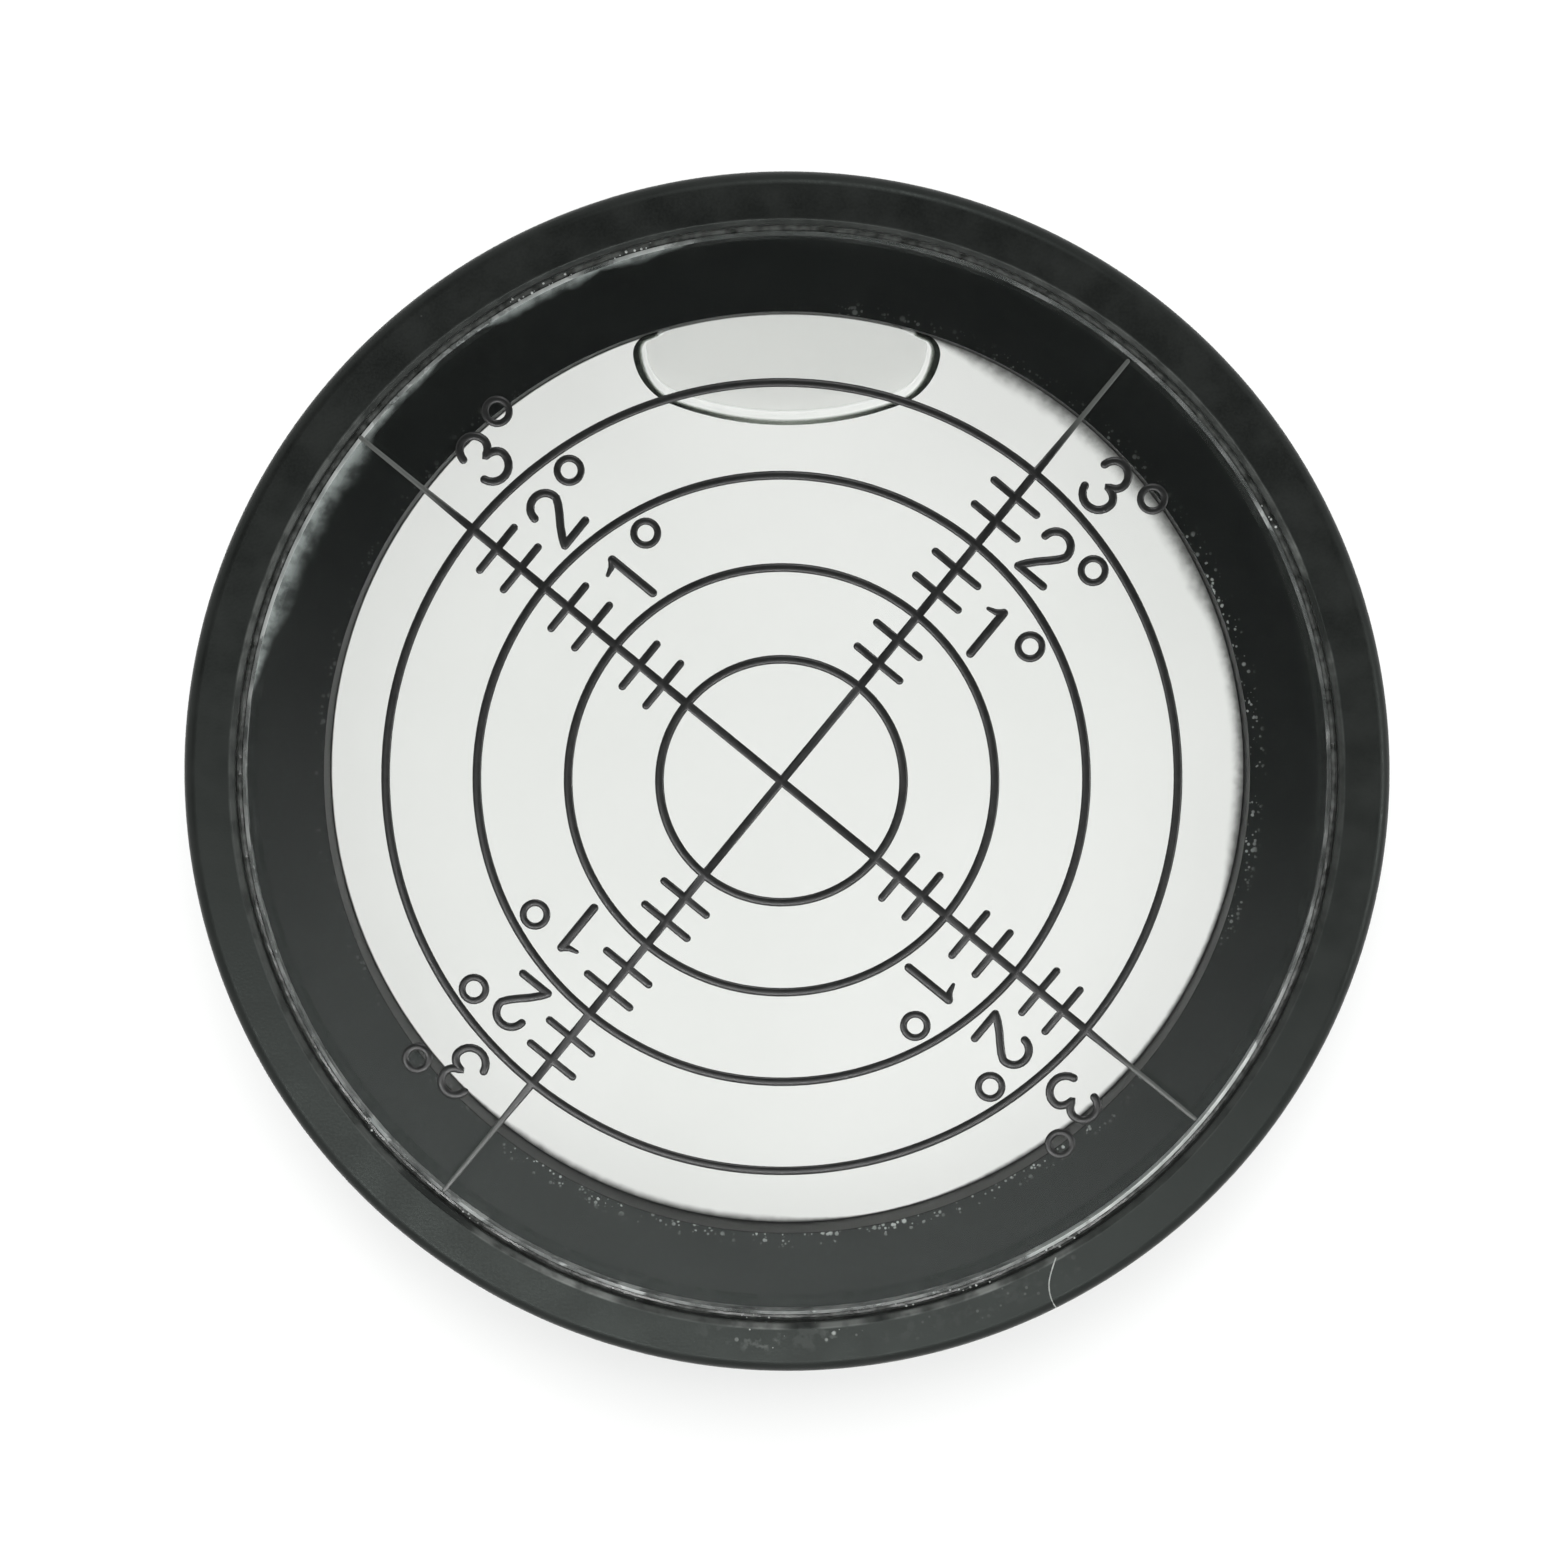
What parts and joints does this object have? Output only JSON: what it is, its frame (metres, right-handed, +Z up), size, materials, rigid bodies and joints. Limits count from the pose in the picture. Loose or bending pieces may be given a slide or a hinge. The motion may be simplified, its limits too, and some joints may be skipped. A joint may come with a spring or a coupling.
{
  "type": "bullseye level",
  "caption": "Round bullseye spirit level: black plastic case, clear flush window with degree rings and cross lines, white dial, liquid and bubble.",
  "frame": {"origin": "centre of the base, on the plane that the foot ring rests on", "axes": "+Z up the disc's axis towards the window, +Y towards the side that is uppermost in the picture, where the bubble is"},
  "size_m": [0.06, 0.06, 0.012],
  "materials": {
    "case_plastic": "satin moulded",
    "dial_white": "matt white",
    "spirit": "clear liquid",
    "gas": "clear gas",
    "window_acrylic": "polished clear",
    "glue": "set glue over black",
    "black_ink": "gloss ink",
    "screw_plastic": "satin moulded",
    "seal_rubber": "matt"
  },
  "bodies": {
    "root": {"case": "case_plastic", "dial": "dial_white", "liquid": "spirit", "bubble": "gas", "lens": "window_acrylic", "lens_bond": "glue", "graduation": "black_ink", "filler_screw": "screw_plastic", "filler_seal": "seal_rubber"}
  },
  "joints": []
}
